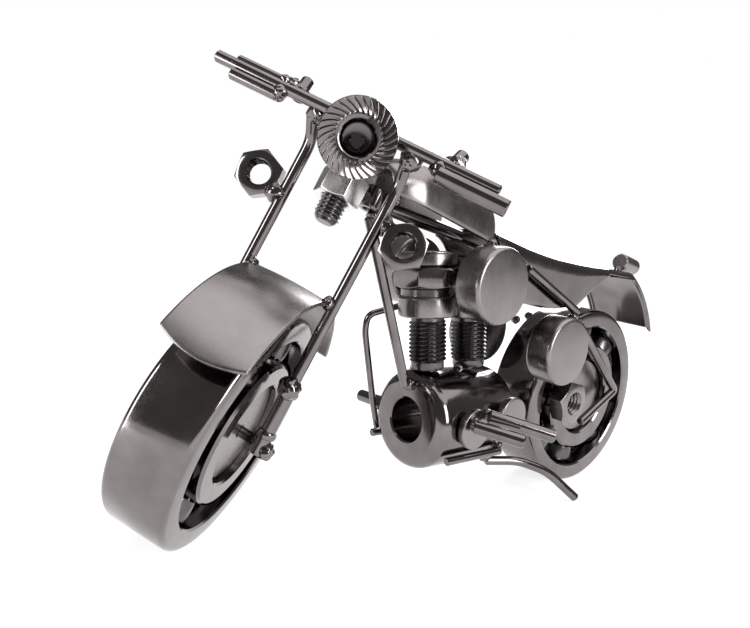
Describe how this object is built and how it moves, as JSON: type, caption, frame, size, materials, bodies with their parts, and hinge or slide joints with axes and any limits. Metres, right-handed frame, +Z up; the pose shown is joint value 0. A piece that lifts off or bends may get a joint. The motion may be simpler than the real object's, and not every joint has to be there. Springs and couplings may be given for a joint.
{
  "type": "scrap metal chopper motorcycle figure",
  "caption": "Desk-size chopper motorcycle of bearings, nuts, bolts and welded rods; its wheels spin and its fork steers.",
  "frame": {"origin": "where the rear wheel meets the ground, in the rear wheel's middle plane", "axes": "+X forwards along the frame, +Y to the rider's left, +Z up"},
  "size_m": [0.1494, 0.0548, 0.0902],
  "materials": {
    "black_nickel": "dark black-nickel plating, mirror-like",
    "brushed": "brushed under dark plating",
    "bright": "bright worn nut, satin",
    "dark_steel": "dark threaded bolt"
  },
  "bodies": {
    "frame": {"backbone": "black_nickel", "down_tube": "black_nickel", "engine_tube": "black_nickel", "foot_lever": "black_nickel", "front_cylinder_bolt": "dark_steel", "front_cylinder_cap": "brushed", "front_cylinder_collar": "brushed", "front_cylinder_hex": "black_nickel", "front_pipe": "black_nickel", "front_side_disc": "brushed", "hub_nut_left": "brushed", "hub_nut_right": "brushed", "kickstand": "black_nickel", "lower_rail_left": "black_nickel", "lower_rail_right": "black_nickel", "lower_slug_left": "brushed", "lower_slug_right": "brushed", "neck_boss": "black_nickel", "peg_right": "black_nickel", "rear_cylinder_bolt": "dark_steel", "rear_cylinder_cap": "brushed", "rear_cylinder_collar": "brushed", "rear_cylinder_hex": "black_nickel", "rear_hub_disc": "brushed", "rear_inner_ring": "black_nickel", "rear_pipe": "black_nickel", "rear_side_disc": "brushed", "rear_stay_left": "black_nickel", "rear_stay_right": "black_nickel", "seat_and_rear_fender": "black_nickel", "seat_strut_left": "black_nickel", "seat_strut_right": "black_nickel", "steering_nut": "bright", "tail_light": "brushed", "tank": "brushed", "upper_slug_left": "brushed", "upper_slug_right": "brushed"},
    "fork": {"steering_bolt": "dark_steel", "steering_yoke": "black_nickel", "handlebar": "black_nickel", "fork_leg_left": "black_nickel", "fork_leg_right": "black_nickel", "leg_sleeve_left": "black_nickel", "leg_sleeve_right": "black_nickel", "signal_nut_left": "black_nickel", "signal_nut_right": "black_nickel", "headlight": "black_nickel", "front_axle": "black_nickel", "front_fender": "brushed", "lever_tube_left": "black_nickel", "lever_rod_right": "black_nickel", "bar_wire_right": "black_nickel", "bar_stud_left": "black_nickel", "bar_stud_right": "black_nickel", "front_inner_ring": "black_nickel", "front_hub_disc": "brushed"},
    "front_wheel": {"front_outer_ring": "black_nickel"},
    "front_cage": {"front_ball_cage": "dark_steel"},
    "rear_wheel": {"rear_outer_ring": "black_nickel"},
    "rear_cage": {"rear_ball_cage": "dark_steel"}
  },
  "joints": [
    {"name": "steering", "type": "hinge", "parent": "frame", "child": "fork", "pos_m": [0.085, 0.00065, 0.0682], "axis": [-0.4226, 0, 0.9063], "range_deg": [-85, 15]},
    {"name": "front_wheel_spin", "type": "hinge", "parent": "fork", "child": "front_wheel", "pos_m": [0.1018, -0.0065, 0.02391], "axis": [-0.5544, 0.7627, -0.3331], "continuous": true},
    {"name": "front_cage_spin", "type": "hinge", "parent": "fork", "child": "front_cage", "pos_m": [0.1018, -0.0065, 0.02391], "axis": [-0.5544, 0.7627, -0.3331], "continuous": true},
    {"name": "rear_wheel_spin", "type": "hinge", "parent": "frame", "child": "rear_wheel", "pos_m": [0, 0, 0.02343], "axis": [0, 1, 0], "continuous": true},
    {"name": "rear_cage_spin", "type": "hinge", "parent": "frame", "child": "rear_cage", "pos_m": [0, 0, 0.02343], "axis": [0, 1, 0], "continuous": true}
  ],
  "couplings": [
    {"joint": "front_cage_spin", "follows": "front_wheel_spin", "ratio": 0.6183},
    {"joint": "rear_cage_spin", "follows": "rear_wheel_spin", "ratio": 0.6183}
  ]
}
